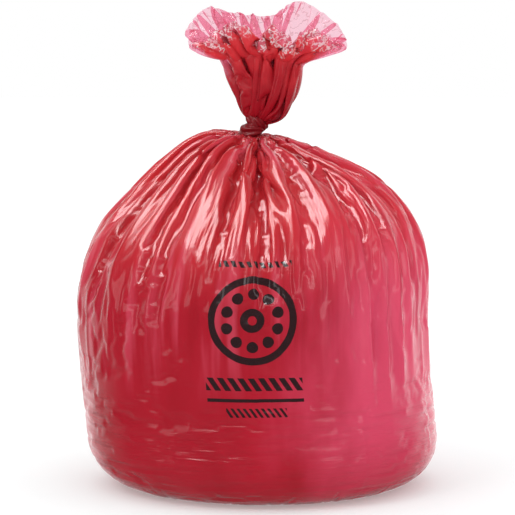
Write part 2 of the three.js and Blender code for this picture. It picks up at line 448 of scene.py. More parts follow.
# Lumps of the load behind the film: their size across and up, where the pattern starts and how high they are
LUMPS = ((0.070, 0.090), (9.1, 3.7, 5.3), 0.005)
SMALL_LUMPS = ((0.032, 0.040), (2.1, 7.7, 1.3), 0.002)
LUMP_SEED = 1
LOAD_GIVE = 0.007
HEADSPACE = 0.030
HEADSPACE_LOW = SHOULDER_HEIGHT - 0.02
HEADSPACE_FULL = SHOULDER_HEIGHT + 0.13
FLOOR_GIVE_LOW = -0.01
FLOOR_GIVE_FULL = 0.03
LEAST_DEPTH = 0.001
MOST_DEPTH_SHARE = 0.6


def body_depths(turn, radius, height):
    """How deep the film may lie under the body's outline: as far as the load lets it."""
    soft = Grain(LUMP_SEED)
    x, y = radius * np.cos(turn), radius * np.sin(turn)
    load = LOAD_GIVE
    for (across, up), (shift_x, shift_y, shift_up), tall in (LUMPS, SMALL_LUMPS):
        load = load + tall * soft.at(x / across + shift_x, y / across + shift_y, height / up + shift_up)
    slack = HEADSPACE * smooth(HEADSPACE_LOW, HEADSPACE_FULL, height)
    depth = (load + slack) * smooth(FLOOR_GIVE_LOW, FLOOR_GIVE_FULL, height)
    return np.minimum(np.maximum(depth, LEAST_DEPTH), MOST_DEPTH_SHARE * radius)


def streaks(random, shape, axis, length):
    """Random numbers from 0 to 1, each run into its neighbours along one axis of the film."""
    numbers = random.uniform(0, 1, shape)
    total = sum(np.roll(numbers, step, axis) for step in range(length))
    spread = total / length - 0.5
    return np.clip(0.5 + spread * math.sqrt(length), 0, 1)


# Dents that start the folds: how many points a streak is long, where the level ones end, and the taut belt
DENT_DEPTH = 0.0012
UPRIGHT_STREAK = 5
LEVEL_STREAK = 9
LEVEL_DENTS = 0.5
LEVEL_FULL = 0.10
LEVEL_END = 0.19
TAUT_SHARE = 0.85
TAUT_HEIGHT = 0.18
TAUT_SPREAD = 0.09


def dent_pattern(random, height, shape):
    """Where the film starts to fold: upright streaks above the middle, level ones near the floor."""
    upright = streaks(random, shape, 0, UPRIGHT_STREAK)
    level = streaks(random, shape, 1, LEVEL_STREAK)
    low = 1 - smooth(LEVEL_FULL, LEVEL_END, height)
    taut = 1 - TAUT_SHARE * bell(height - TAUT_HEIGHT, TAUT_SPREAD)
    return (upright * (1 - low) + LEVEL_DENTS * level * low) * taut


# The film's slack: how many times the outline's girth it has in the dome at most, and its spare length
DOME_SLACK = 2.3
DOME_SLACK_LOW = SHOULDER_HEIGHT - 0.05
DOME_SLACK_FULL = SHOULDER_HEIGHT + 0.06
SIDE_SLACK = 0.012
SIDE_SLACK_HEIGHTS = (0.14, 0.26)
SPARE_LENGTH = 1.004
LOW_SLACK = 0.055
LOW_SLACK_RISE = (0.002, 0.035)
LOW_SLACK_FADE = (0.09, 0.17)
DOME_LENGTH_SLACK = 0.012
DOME_LENGTH_HEIGHTS = (0.25, 0.4)

# How the pleats start: how far they wander, and the roughness of the film between them
PANEL_SPARE = 1.06
PANEL_RISE = 0.05
WANDER = 0.06
WANDER_SIZE = 0.08
PLEATS_LOW = SHOULDER_HEIGHT - 0.02
PLEATS_FULL = SHOULDER_HEIGHT + 0.07
PLEAT_SINK = 0.5
ROUGH_DEPTH = 0.003
ROUGH_TURNS = 9
ROUGH_TALL = 0.03
ROUGH_WIDE = 0.05
ROUGH_SEED = 2
DENT_SEED = 31


def panel_turns(rows, columns):
    """The angle of each column on each row: close together on slack film, far apart on taut panels."""
    even = np.arange(columns) * (2 * math.pi / columns)
    gaps = 1 + sum(
        taut * (bell(turned_by(even, middle), half) - 0.5 * bell(turned_by(even, middle), 2 * half))
        for middle, half, taut in PANELS
    )
    uneven = np.concatenate([[0], np.cumsum(gaps)[:-1]]) / gaps.sum() * 2 * math.pi
    uneven += np.mean(turned_by(even, uneven))
    spare = FILM_GIRTH / (2 * math.pi * rows[:, :1]) - PANEL_SPARE
    in_dome = smooth(0, PANEL_RISE, rows[:, 1:] - SHOULDER_HEIGHT)
    return even + np.clip(spare, 0, 1) * turned_by(uneven, even) * in_dome


def pleated_start(rows, columns):
    """The body's film before it settles: the outline with its pleats drawn in."""
    turn = panel_turns(rows, columns)
    radius, height = rows[:, :1] + 0 * turn, rows[:, 1:] + 0 * turn
    sharp = Grain(ROUGH_SEED)
    x, y = radius * np.cos(turn), radius * np.sin(turn)
    wander = WANDER * sharp.at(x / WANDER_SIZE, y / WANDER_SIZE, height / WANDER_SIZE)
    wave, index = pleat_wave(turn + wander)
    in_dome = smooth(PLEATS_LOW, PLEATS_FULL, height)
    depth = PLEAT_DEPTH * wave * pleat_share(radius, index) * in_dome
    depth = depth - ROUGH_DEPTH * (1 + sharp.at(turn * ROUGH_TURNS, height / ROUGH_TALL, radius / ROUGH_WIDE))
    reach = radius + depth
    points = np.stack([reach * np.cos(turn), reach * np.sin(turn), height + PLEAT_SINK * depth * in_dome], -1)
    return points.astype(np.float32)


def true_lengths(rows):
    """The film's true girth on each row, and its true length from each row to the next."""
    girth = 2 * math.pi * rows[:, 0]
    ratio = 1.000 + SIDE_SLACK * smooth(*SIDE_SLACK_HEIGHTS, rows[:, 1])
    slack_girth = np.minimum(FILM_GIRTH, DOME_SLACK * girth)
    in_dome = smooth(DOME_SLACK_LOW, DOME_SLACK_FULL, rows[:, 1])
    step = np.hypot(*np.diff(rows, axis=0).T)
    middle = 0.5 * (rows[1:, 1] + rows[:-1, 1])
    low_slack = LOW_SLACK * smooth(*LOW_SLACK_RISE, middle) * (1 - smooth(*LOW_SLACK_FADE, middle))
    dome_slack = DOME_LENGTH_SLACK * smooth(*DOME_LENGTH_HEIGHTS, middle)
    true_girth = girth * ratio * (1 - in_dome) + slack_girth * in_dome
    true_step = step * (SPARE_LENGTH + low_slack + dome_slack)
    return true_girth, true_step


def body_film():
    """The settled film of the body, from the edge of the base to the neck."""
    rows = body_rows()
    points = pleated_start(rows[::2 ** BODY_STEPS], FILM_COLUMNS // 2 ** BODY_STEPS)
    true_girth, true_step = true_lengths(rows)
    random = np.random.default_rng(DENT_SEED)
    for level in range(BODY_STEPS, -1, -1):
        stride = 2 ** level
        count = FILM_COLUMNS // stride
        across = (true_girth[::stride] / count).astype(np.float32)
        along = np.add.reduceat(true_step, np.arange(0, len(true_step), stride)).astype(np.float32)
        turns = np.arctan2(points[..., 1], points[..., 0])
        level_rows = rows[::stride]
        deepest = body_depths(turns, level_rows[:, :1], level_rows[:, 1:]).astype(np.float32)
        dents = dent_pattern(random, level_rows[:, 1:], points.shape[:2])
        points -= outward(points) * (DENT_DEPTH * stride * dents[..., None]).astype(np.float32)
        points = settle(
            points, across, along, lambda placed: kept_in_body(placed, deepest), BODY_ROUNDS[level],
            push=BODY_PUSH * stride, bend=BODY_BEND[level], squeeze=BODY_SQUEEZE,
        )
        if level:
            points = finer(points)
    return points


# The middle of the front, as a share of the way round
FRONT_SHARE = 0.75


def make_body():
    film = body_film()
    turn = np.arctan2(film[..., 1], film[..., 0])
    radius = np.hypot(film[..., 0], film[..., 1])
    height = film[..., 2]
    out = np.gradient(body_rows(), axis=0)
    out = out / np.hypot(*out.T)[:, None]
    move = long_folds(turn, radius, height) + pack_creases(turn, radius, height)
    radius = radius + move * out[:, 1:]
    height = np.maximum(0, height - move * out[:, :1])
    base = np.arange(BASE_ROWS)[:, None] / BASE_ROWS
    turn = np.concatenate([np.broadcast_to(turn[:1], (BASE_ROWS, FILM_COLUMNS)), turn])
    radius = np.concatenate([base * radius[:1], radius])
    height = np.concatenate([0 * base + 0 * height[:1], height])
    rows = body_rows()
    length = np.concatenate([[0], np.cumsum(np.hypot(*np.diff(rows, axis=0).T))])
    length = np.concatenate([np.zeros(BASE_ROWS), length]) - length[HEEL_ROWS] + HEEL_HEIGHT
    across = (np.arange(FILM_COLUMNS) / FILM_COLUMNS - FRONT_SHARE) * 2 * math.pi * BODY_RADIUS
    cut_places = np.stack([across + 0 * turn, length[:, None] + 0 * turn, 0 * turn], -1)
    return skin("film_body", body_points(radius, turn, height), cut_places)


# Ruff

# Places that the rim passes through, from the right round by the back.
RIM = (
    (0.121, 0.002, 0.602),
    (0.104, 0.030, 0.628),
    (0.058, 0.048, 0.655),
    (0.022, 0.040, 0.636),
    (-0.008, 0.046, 0.636),
    (-0.040, 0.042, 0.640),
    (-0.070, 0.034, 0.646),
    (-0.092, 0.008, 0.624),
    (-0.088, -0.020, 0.596),
    (-0.060, -0.040, 0.612),
    (-0.032, -0.050, 0.632),
    (-0.004, -0.046, 0.608),
    (0.024, -0.052, 0.624),
    (0.050, -0.046, 0.606),
    (0.080, -0.040, 0.622),
    (0.106, -0.024, 0.602),
)
FUNNEL_HEIGHT = 0.584
FUNNEL_SHARE = 0.58
RUFF_PLEATS = 52
RUFF_SEED = 21
RUFF_NOISE = 0.0003
RUFF_NOISE_SEED = 32
RUFF_SLIDE = 0.012

# How many times the form's girth the film has, and how much less that is at the rim
RUFF_SLACK = 5.2
LESS_AT_RIM = 1.7

# Size and depth of the crumples near the rim, and how high a place in their pattern is level
CRUMPLES = ((0.009, 0.010), (0.0045, 0.008))
CRUMPLE_LEVEL = 0.35


def round_curve(points, share):
    """A smooth closed curve through points, at shares of its way round."""
    points = np.array(points)
    count = len(points)
    place = (share % 1) * count
    index = np.floor(place).astype(int)
    step = (place - index)[:, None]
    before, here, after, later = (points[(index + offset) % count] for offset in (-1, 0, 1, 2))
    return 0.5 * (
        2 * here
        + (after - before) * step
        + (2 * before - 5 * here + 4 * after - later) * step**2
        + (3 * here - before - 3 * after + later) * step**3
    )


def ruff_room():
    """The smooth form of the ruff."""
    share = (np.arange(RUFF_ROWS + 1) / RUFF_ROWS)[:, None, None]
    around = np.arange(FILM_COLUMNS) / FILM_COLUMNS
    rim = round_curve(RIM, around)
    facing = np.arctan2(rim[:, 1] / 0.045, rim[:, 0] / 0.105)
    funnel_share = np.minimum(1, share / FUNNEL_SHARE)
    opened = np.sin(math.pi / 2 * funnel_share[..., 0] ** 0.8)
    width = 0.011 + 0.027 * opened + 0.009 * funnel_share[..., 0] ** 4
    depth = 0.010 + 0.018 * opened
    rise = RUFF_LOW + (FUNNEL_HEIGHT - RUFF_LOW) * funnel_share[..., 0]
    lean = 0.011 * smooth(0.0, 0.4, funnel_share[..., 0])
    funnel = np.stack([
        KNOT_X + lean + width * np.cos(facing),
        depth * np.sin(facing),
        rise + 0 * facing,
    ], -1)
    flare = np.clip((share - FUNNEL_SHARE) / (1 - FUNNEL_SHARE), 0, 1)
    top = funnel[-1]
    lip = top * 0.62 + rim * 0.38
    lip[:, 2] = np.minimum(FUNNEL_HEIGHT + 0.010, rim[:, 2] - 0.002)
    spread = top * (1 - flare) ** 2 + 2 * lip * flare * (1 - flare) + rim * flare**2
    room = np.where(share < FUNNEL_SHARE, funnel, spread)

    # The slack pouch beside the knot
    away = turned_by(facing, math.radians(-32))
    low_part = share[..., 0]
    hang = bell(away, math.radians(38)) * np.sin(math.pi * np.clip(low_part / 0.52, 0, 1)) ** 0.8
    room[..., 0] += 0.018 * hang * np.cos(facing)
    room[..., 1] += 0.016 * hang * np.sin(facing)
    room[..., 2] -= 0.024 * bell(away, math.radians(38)) * bell(low_part - 0.15, 0.14)
    return room


def ruff_film():
    room = ruff_room()
    stride = 2 ** RUFF_STEPS
    share = (np.arange(RUFF_ROWS + 1) / RUFF_ROWS)[:, None]
    soft = Grain(4)

    # Pleats that rise from the knot
    random = np.random.default_rng(RUFF_SEED)
    gaps = random.uniform(0.5, 1.5, RUFF_PLEATS)
    ridges = np.concatenate([[0], np.cumsum(gaps)])
    ridges = ridges / ridges[-1] * 2 * math.pi
    turn = np.arange(FILM_COLUMNS) * (2 * math.pi / FILM_COLUMNS)
    noise = soft.at(np.cos(turn) * 3 + 0 * share, np.sin(turn) * 3 + 0 * share, share * 4)
    wander = (turn + 0.04 * noise) % (2 * math.pi)
    index = np.clip(np.searchsorted(ridges, wander, side="right") - 1, 0, RUFF_PLEATS - 1)
    part = (wander - ridges[index]) / (ridges[index + 1] - ridges[index])
    skew = random.uniform(0.3, 0.7, RUFF_PLEATS)[index]
    tent = np.minimum(part / skew, (1 - part) / (1 - skew)) - 0.5
    size = random.uniform(0.5, 1.3, RUFF_PLEATS)[index]
    depth = 0.004 + 0.009 * smooth(0, 0.35, share)
    points = room + outward(room) * (depth * size * tent)[..., None]

    girth = np.linalg.norm(np.roll(room, -1, 1) - room, axis=-1).sum(1)
    crushed = 0
    for width, deep in CRUMPLES:
        x, y, z = (room[..., axis] / width for axis in range(3))
        crushed = crushed + deep * (np.abs(soft.at(x, y, z)) - CRUMPLE_LEVEL)
    near_rim = smooth(0.6, 0.95, share)
    points += outward(room) * (near_rim * crushed)[..., None]
    slack = RUFF_SLACK - LESS_AT_RIM * smooth(0.5, 1.0, share[:, 0])
    true_girth = np.minimum(FILM_GIRTH, girth * slack)
    step = np.linalg.norm(np.diff(room, axis=0), axis=-1).mean(1)
    step = step * (1.002 + 0.07 * smooth(0.62, 0.92, share[1:, 0]))
    points = points[::stride, ::stride].astype(np.float32)
    random = np.random.default_rng(RUFF_NOISE_SEED)
    for level in range(RUFF_STEPS, -1, -1):
        stride = 2 ** level
        count = FILM_COLUMNS // stride
        across = (true_girth[::stride] / count).astype(np.float32)
        along = np.add.reduceat(step, np.arange(0, len(step), stride)).astype(np.float32)
        middle = room[::stride, ::stride].astype(np.float32)
        facing_out = outward(middle)
        limit = (0.003 + 0.010 * smooth(0, 0.4, share[::stride]))[..., None].astype(np.float32)
        points += random.normal(0, RUFF_NOISE * stride / 4, points.shape).astype(np.float32)

        def hold(placed):
            away = placed - middle
            off = np.einsum("ijk,ijk->ij", away, facing_out)[..., None]
            along_form = away - off * facing_out
            slid = np.clip(along_form, -RUFF_SLIDE, RUFF_SLIDE)
            return middle + np.clip(off, -limit, limit) * facing_out + slid

        points = settle(
            points, across, along, hold, RUFF_ROUNDS[level],
            push=0.0, bend=RUFF_BEND[level], squeeze=RUFF_SQUEEZE,
        )
        if level:
            points = finer(points)
    return points


def make_ruff():
    return skin("film_ruff", ruff_film())


# Knot

# The pleats of a turn of the knot, and how far they wind round it
STRAND_PLEATS = 7
STRAND_WINDING = 0.9

# The knot's two turns: radius of the ring, its thickness, its tilt, where it bulges, its middle and seed
LOW_TURN = (0.0070, 0.0112, math.radians(-30), math.pi, (KNOT_X - 0.003, -0.004, 0.4835), 6)
HIGH_TURN = (0.0068, 0.0092, math.radians(32), 0.0, (KNOT_X + 0.001, -0.002, 0.496), 7)


def strand(name, radius, thickness, tilt, spin, middle, seed):
    """One turn of the twisted neck round itself: a ring whose film lies in long pleats."""
    clear_selection()
    bpy.ops.mesh.primitive_torus_add(
        major_radius=radius, minor_radius=thickness, major_segments=120, minor_segments=56
    )
    piece = bpy.context.object
    piece.name = name
    count = len(piece.data.vertices)
    co = np.zeros(count * 3)
    piece.data.vertices.foreach_get("co", co)
    co = co.reshape(-1, 3)
    turn = np.arctan2(co[:, 1], co[:, 0])
    across = np.hypot(co[:, 0], co[:, 1]) - radius
    minor = np.arctan2(co[:, 2], across)
    grain = Grain(seed)
    twist = minor + STRAND_WINDING * turn
    pleat = np.abs(np.sin(STRAND_PLEATS / 2 * twist + 1.3 * np.sin(turn + seed)))
    small = grain.at(np.cos(turn) * 2 + minor * 2.5, np.sin(turn) * 2, minor * 1.5)
    reach = thickness * (0.84 + 0.22 * pleat + 0.14 * small + 0.16 * np.cos(turn - spin))
    co[:, 0] = (radius + reach * np.cos(minor)) * np.cos(turn)
    co[:, 1] = (radius + reach * np.cos(minor)) * np.sin(turn)
    co[:, 2] = reach * np.sin(minor)
    slope, level = math.sin(tilt), math.cos(tilt)
    x = co[:, 0] * level + co[:, 2] * slope
    z = co[:, 2] * level - co[:, 0] * slope
    places = np.stack([x + middle[0], co[:, 1] + middle[1], z + middle[2]], axis=1)
    piece.data.vertices.foreach_set("co", places.ravel())
    bpy.ops.object.shade_smooth()
    return piece


def make_knot():
    low = strand("low_turn", *LOW_TURN)
    high = strand("high_turn", *HIGH_TURN)
    clear_selection()
    low.select_set(True)
    high.select_set(True)
    bpy.context.view_layer.objects.active = low
    bpy.ops.object.join()
    low.name = "film_knot"
    low.data.name = "film_knot"
    return low


# Load

LOAD_COLUMNS = 160
LOAD_BASE_ROWS = 6
LOAD_HEEL_ROWS = 16
LOAD_SIDE_ROWS = 28
LOAD_DOME_ROWS = 50
LOAD_INSET = 0.0024
AIR_DEPTH = 0.040
AIR_TURN = math.radians(-12)
AIR_LOW = 0.080
AIR_FULL = 0.260
HEAP_LUMP = 0.07
HEAP_LUMP_DEPTH = 0.004
HEAP_BIT = 0.03
HEAP_BIT_DEPTH = 0.003


def load_grid():
    """A heap of loose waste: it fills the base, leans to the left and leaves a pocket of air at the right."""
    rows = []
    for step in range(LOAD_BASE_ROWS):
        rows.append((BASE_RADIUS * step / LOAD_BASE_ROWS, load_low.z))
    for step in range(LOAD_HEEL_ROWS):
        angle = math.pi / 2 * step / LOAD_HEEL_ROWS
        low = HEEL_HEIGHT - (HEEL_HEIGHT - load_low.z) * math.cos(angle)
        rows.append((BASE_RADIUS + (HEEL_WIDTH - LOAD_INSET) * math.sin(angle), low))
    for step in range(LOAD_SIDE_ROWS):
        rise = (SHOULDER_HEIGHT - HEEL_HEIGHT) * step / LOAD_SIDE_ROWS
        rows.append((BODY_RADIUS - LOAD_INSET, HEEL_HEIGHT + rise))
    for step in range(LOAD_DOME_ROWS + 1):
        angle = math.pi / 2 * step / LOAD_DOME_ROWS
        rise = (load_high.z - SHOULDER_HEIGHT) * math.sin(angle)
        rows.append(((BODY_RADIUS - LOAD_INSET) * math.cos(angle), SHOULDER_HEIGHT + rise))
    rows = np.array(rows)
    turn = np.arange(LOAD_COLUMNS) * (2 * math.pi / LOAD_COLUMNS) + 0 * rows[:, :1]
    radius, height = rows[:, :1] + 0 * turn, rows[:, 1:] + 0 * turn
    x, y = radius * np.cos(turn), radius * np.sin(turn)
    soft, fine = Grain(8), Grain(9)
    facing = 0.5 + 0.5 * np.cos(turned_by(turn, AIR_TURN))
    inward = 0.003 + AIR_DEPTH * facing * smooth(AIR_LOW, AIR_FULL, height)
    lumps = HEAP_LUMP_DEPTH * (1 + soft.at(x / HEAP_LUMP, y / HEAP_LUMP, height / HEAP_LUMP))
    bits = HEAP_BIT_DEPTH * (1 + fine.at(x / HEAP_BIT, y / HEAP_BIT, height / HEAP_BIT))
    inward += lumps + bits
    radius = np.maximum(0, radius - inward * np.minimum(1, radius / BASE_RADIUS))
    return body_points(radius, turn, height)


def make_load():
    return skin("loose_waste", load_grid())


# Materials

class Value:
    """A number over the surface. Expressions on it add their Math nodes."""

    def __init__(self, finish, socket):
        self.finish = finish
        self.socket = socket

    def math(self, operation, *others):
        sockets = dict(enumerate((self, *others)))
        return self.finish.node("ShaderNodeMath", {"operation": operation}, sockets)

    def __add__(self, other):
        return self.math("ADD", other)

    def __sub__(self, other):
        return self.math("SUBTRACT", other)

    def __rsub__(self, other):
        return self.finish.node("ShaderNodeMath", {"operation": "SUBTRACT"}, {0: other, 1: self})

    def __mul__(self, other):
        return self.math("MULTIPLY", other)

    def __truediv__(self, other):
        return self.math("DIVIDE", other)

    def __pow__(self, other):
        return self.math("POWER", other)

    def __abs__(self):
        return self.math("ABSOLUTE")

    def near(self, middle, reach):
        """1 where the number lies within reach of middle, else 0."""
        return abs(self - middle).math("LESS_THAN", reach)

    __radd__ = __add__
    __rmul__ = __mul__


class Finish:
    """A material and the nodes in it."""

    def __init__(self, name):
        self.material = bpy.data.materials.new(name)
        self.material.use_nodes = True
        self.tree = self.material.node_tree
        self.tree.nodes.clear()

    def node(self, kind, settings=None, sockets=None, output=0):
        """Adds a node of a kind with its settings, fills its sockets and gives one of its outputs."""
        made = self.tree.nodes.new(kind)
        for name, setting in (settings or {}).items():
            setattr(made, name, setting)
        for name, given in (sockets or {}).items():
            socket = made.inputs[name]
            if isinstance(given, Value):
                self.tree.links.new(given.socket, socket)
            else:
                socket.default_value = given
        return Value(self, made.outputs[output])

    def show(self, surface):
        made = self.tree.nodes.new("ShaderNodeOutputMaterial")
        self.tree.links.new(surface.socket, made.inputs["Surface"])
        return self.material

    def spots(self, where, scale, detail=2.0, roughness=0.5):
        sockets = {"Vector": where, "Scale": scale, "Detail": detail, "Roughness": roughness}
        return self.node("ShaderNodeTexNoise", {}, sockets)

    def ramp(self, value, low, high):
        return self.node("ShaderNodeMapRange", {"interpolation_type": "SMOOTHSTEP"}, {
            "Value": value, "From Min": low, "From Max": high,
        })

    def stretched(self, where, factors):
        return self.node("ShaderNodeMapping", {}, {"Vector": where, "Scale": factors})

    def between(self, share, first, second):
        sockets = {"Factor": share, "A": (*first, 1) if isinstance(first, tuple) else first}
        sockets["B"] = (*second, 1) if isinstance(second, tuple) else second
        made = self.tree.nodes.new("ShaderNodeMix")
        made.data_type = "RGBA"
        for name, given in sockets.items():
            socket = next(s for s in made.inputs if s.name == name and s.enabled)
            if isinstance(given, Value):
                self.tree.links.new(given.socket, socket)
            else:
                socket.default_value = given
        return Value(self, next(s for s in made.outputs if s.enabled))


# The print, in metres from its middle on the film as it was cut. It is a plain pattern of this part's own.
PRINT_HEIGHT = 0.257
RING_RADIUS = 0.054
RING_LINE = 0.0048
WREATH_RADIUS = 0.035
WREATH_DOTS = 10
WREATH_DOT = 0.0075
MIDDLE_RADIUS = 0.011
MIDDLE_LINE = 0.005
# Low and high edge, half length, pitch of the stripes and how much of the pitch is black
BANDS = (
    (-0.093, -0.076, 0.064, 0.0135, 0.62),
    (-0.108, -0.1035, 0.064, 1.0, 1.0),
    (-0.128, -0.116, 0.040, 0.0080, 0.50),
    (0.070, 0.078, 0.052, 0.0105, 0.55),
)
PRINT_BLACK = (0.022, 0.012, 0.014)

# Film colours, as light that comes back and light that passes through one layer
FILM_RED = (0.58, 0.014, 0.038)
FILM_PINK = (0.88, 0.085, 0.175)
FILM_DEEP = (0.38, 0.007, 0.016)
FILM_DARK = (0.13, 0.003, 0.006)
FILM_PALE = (0.88, 0.30, 0.44)
FILM_ORANGE = (0.78, 0.040, 0.050)
FILM_RIM_GLINT = (0.95, 0.78, 0.80)
FILM_LIT_BAND = (0.90, 0.12, 0.20)
FILM_KNOT = (0.30, 0.005, 0.012)
FILM_TINT = (0.94, 0.42, 0.50)
FILM_PALE_TINT = (0.97, 0.66, 0.75)
WASTE_DARK = (0.30, 0.012, 0.020)
WASTE_LIGHT = (0.60, 0.06, 0.08)

# How much light the film stops: on the body and its spread, in print, and on the ruff's lobes, where
# the ruff is gathered, on its crumpled edge and in its creases
BODY_OPACITY = 0.66
BODY_OPACITY_SPREAD = 0.16
PRINT_OPACITY = 0.93
LOBE_OPACITY = 0.12
GATHERED_OPACITY = 0.80
EDGE_OPACITY = 0.6
CREASE_OPACITY = 0.25

# How many times a metre the patterns in the film change, along each direction of their place
WRINKLE_SCALE = (11, 11, 190)
UPRIGHT_SCALE = (150, 9, 1)
CRINKLE_SCALE = (30, 30, 20)
PATCH_SCALE = (14, 14, 5)
FOLD_LIGHT_SCALE = (34, 2.6, 1)
RUFF_CRINKLE_SCALE = (60, 60, 45)
CREASE_SCALE = 62.0
CRUMPLE_GLINT_SCALE = 130.0


def film_surface(finish, colour, opacity, normal, tint=FILM_TINT, roughness=0.2, gloss=0.3, coat=0.35):
    shell = finish.node("ShaderNodeBsdfPrincipled", {}, {
        "Base Color": colour,
        "Roughness": roughness,
        "IOR": 1.5,
        "Specular IOR Level": gloss,
        "Coat Weight": coat,
        "Coat Roughness": 0.04,
        "Coat IOR": 1.5,
        "Normal": normal,
    })
    clear = finish.node("ShaderNodeBsdfTransparent", {}, {"Color": (*tint, 1)})
    return finish.node("ShaderNodeMixShader", {}, {0: opacity, 1: clear, 2: shell})


def make_print(finish):
    """Where the film is printed: a ring with a wreath of dots, and striped bands below and above it."""
    place = finish.node("ShaderNodeAttribute", {"attribute_name": "cut_place"}, {}, "Vector")
    across = finish.node("ShaderNodeSeparateXYZ", {}, {"Vector": place}, "X")
    along = finish.node("ShaderNodeSeparateXYZ", {}, {"Vector": place}, "Y")
    rise = along - PRINT_HEIGHT
    away = (across * across + rise * rise) ** 0.5
    ring = away.near(RING_RADIUS, RING_LINE)
    angle = rise.math("ARCTAN2", across) / (2 * math.pi / WREATH_DOTS)
    around = (angle.math("FRACT") - 0.5) * (2 * math.pi * WREATH_RADIUS / WREATH_DOTS)
    outward_way = away - WREATH_RADIUS
    dots = ((around * around + outward_way * outward_way) ** 0.5).math("LESS_THAN", WREATH_DOT)
    middle = away.near(MIDDLE_RADIUS, MIDDLE_LINE)
    shape = ring.math("MAXIMUM", dots).math("MAXIMUM", middle)
    for low, high, half, pitch, share in BANDS:
        level = rise.near((low + high) / 2, (high - low) / 2)
        inside = abs(across).math("LESS_THAN", half)
        stripes = ((across + rise * 0.6) / pitch).math("FRACT").math("LESS_THAN", share)
        shape = shape.math("MAXIMUM", level * inside * stripes)
    return shape


def make_body_film():
    finish = Finish("red film")
    place = finish.node("ShaderNodeTexCoord", {}, {}, "Object")
    side = finish.node("ShaderNodeSeparateXYZ", {}, {"Vector": place}, "X")
    height = finish.node("ShaderNodeSeparateXYZ", {}, {"Vector": place}, "Z")
    cut_place = finish.node("ShaderNodeAttribute", {"attribute_name": "cut_place"}, {}, "Vector")
    level = abs(finish.spots(finish.stretched(place, WRINKLE_SCALE), 1.0, 3.0) - 0.5)
    upright = abs(finish.spots(finish.stretched(cut_place, UPRIGHT_SCALE), 1.0, 2.0) - 0.5)
    crinkle = finish.spots(finish.stretched(place, CRINKLE_SCALE), 1.0, 4.0)
    where = finish.spots(place, 9.0, 2.0)
    low = 1 - finish.ramp(height + (where - 0.5) * 0.16 - abs(side) * 0.30, 0.03, 0.15)
    low = low * finish.ramp(height, 0.0, 0.035)
    high = finish.ramp(height, 0.30, 0.38)
    normal = finish.node("ShaderNodeBump", {}, {
        "Strength": 0.45, "Distance": 0.003,
        "Height": level * low * 3.2 + upright * high * 2.0 + crinkle * 0.25,
    })
    patches = finish.spots(finish.stretched(place, PATCH_SCALE), 1.0, 3.0)
    # Painted light: the right side, where air lies behind the film, is painted lighter pink for light that
    # shines through it.
    backlit_right = finish.ramp(side + (patches - 0.5) * 0.16, 0.02, 0.15) * finish.ramp(height, -0.04, 0.13)
    fold_light_and_shade = finish.spots(finish.stretched(cut_place, FOLD_LIGHT_SCALE), 1.0, 3.0)
    painted_band_height = finish.ramp(height, 0.13, 0.24)
    colour = finish.between(patches, FILM_DEEP, FILM_RED)
    colour = finish.between(backlit_right, colour, FILM_PINK)
    # Painted light: the dome is painted brighter orange-red towards the knot, for light that passes through
    # its thin pleats.
    colour = finish.between(finish.ramp(height, 0.25, 0.40) * 0.8, colour, FILM_ORANGE)
    # Painted light and shade: upright bands below the shoulder are painted lighter pink as lit folds and
    # darker red as shaded folds.
    colour = finish.between(finish.ramp(fold_light_and_shade, 0.50, 0.66) * painted_band_height * 0.42, colour, FILM_LIT_BAND)
    colour = finish.between(finish.ramp(fold_light_and_shade, 0.47, 0.34) * painted_band_height * 0.45, colour, FILM_DEEP)
    printed = make_print(finish)
    colour = finish.between(printed, colour, PRINT_BLACK)
    opacity = (BODY_OPACITY + patches * BODY_OPACITY_SPREAD) * (1 - printed) + printed * PRINT_OPACITY
    return finish.show(film_surface(finish, colour, opacity, normal))


def make_ruff_film():
    finish = Finish("ruff film")
    place = finish.node("ShaderNodeTexCoord", {}, {}, "Object")
    crinkle = finish.spots(finish.stretched(place, RUFF_CRINKLE_SCALE), 1.0, 4.0)
    normal = finish.node("ShaderNodeBump", {}, {"Strength": 0.4, "Distance": 0.003, "Height": crinkle})
    along = finish.node("ShaderNodeUVMap", {"uv_map": "UVMap"})
    way = finish.node("ShaderNodeSeparateXYZ", {}, {"Vector": along}, "Y")
    depth = finish.node("ShaderNodeSeparateXYZ", {}, {"Vector": place}, "Y")
    front = 1 - finish.ramp(depth, -0.030, -0.004)
    gathered = 1 - finish.ramp(way - front * 0.52 + (crinkle - 0.5) * 0.3, 0.32, 0.62)
    deep = finish.between(finish.ramp(way + (crinkle - 0.5) * 0.7, 0.15, 1.1), FILM_DEEP, FILM_ORANGE)
    colour = finish.between(gathered, FILM_PALE, deep)
    creases = 1 - finish.ramp(abs(finish.spots(place, CREASE_SCALE, 2.0) - 0.5), 0.006, 0.030)
    colour = finish.between(creases * (1 - gathered) * 0.7, colour, FILM_RED)
    # Painted highlight: the crumples along the ruff's front rim are painted white-pink as glints of light.
    # The same place also stops more light.
    crumple_glint_lines = 1 - finish.ramp(abs(finish.spots(place, CRUMPLE_GLINT_SCALE, 2.0) - 0.5), 0.010, 0.060)
    crumpled_rim_glint = finish.ramp(way + (crinkle - 0.5) * 0.6, 0.82, 0.93) * front * crumple_glint_lines
    colour = finish.between(crumpled_rim_glint, colour, FILM_RIM_GLINT)
    opacity = LOBE_OPACITY + gathered * GATHERED_OPACITY * (1 - crumpled_rim_glint) + crumpled_rim_glint * EDGE_OPACITY
    opacity = opacity + creases * (1 - gathered) * CREASE_OPACITY
    coat = 0.5 - gathered * 0.42
    return finish.show(film_surface(finish, colour, opacity, normal, FILM_PALE_TINT, 0.25, 0.2, coat))


def make_knot_film():
    finish = Finish("knotted film")
    place = finish.node("ShaderNodeTexCoord", {}, {}, "Object")
    crinkle = finish.spots(place, 190.0, 4.0)
    normal = finish.node("ShaderNodeBump", {}, {"Strength": 0.4, "Distance": 0.002, "Height": crinkle})
    colour = finish.between(crinkle, FILM_DARK, FILM_KNOT)
    return finish.show(film_surface(finish, colour, 0.98, normal, roughness=0.45, gloss=0.1, coat=0.06))


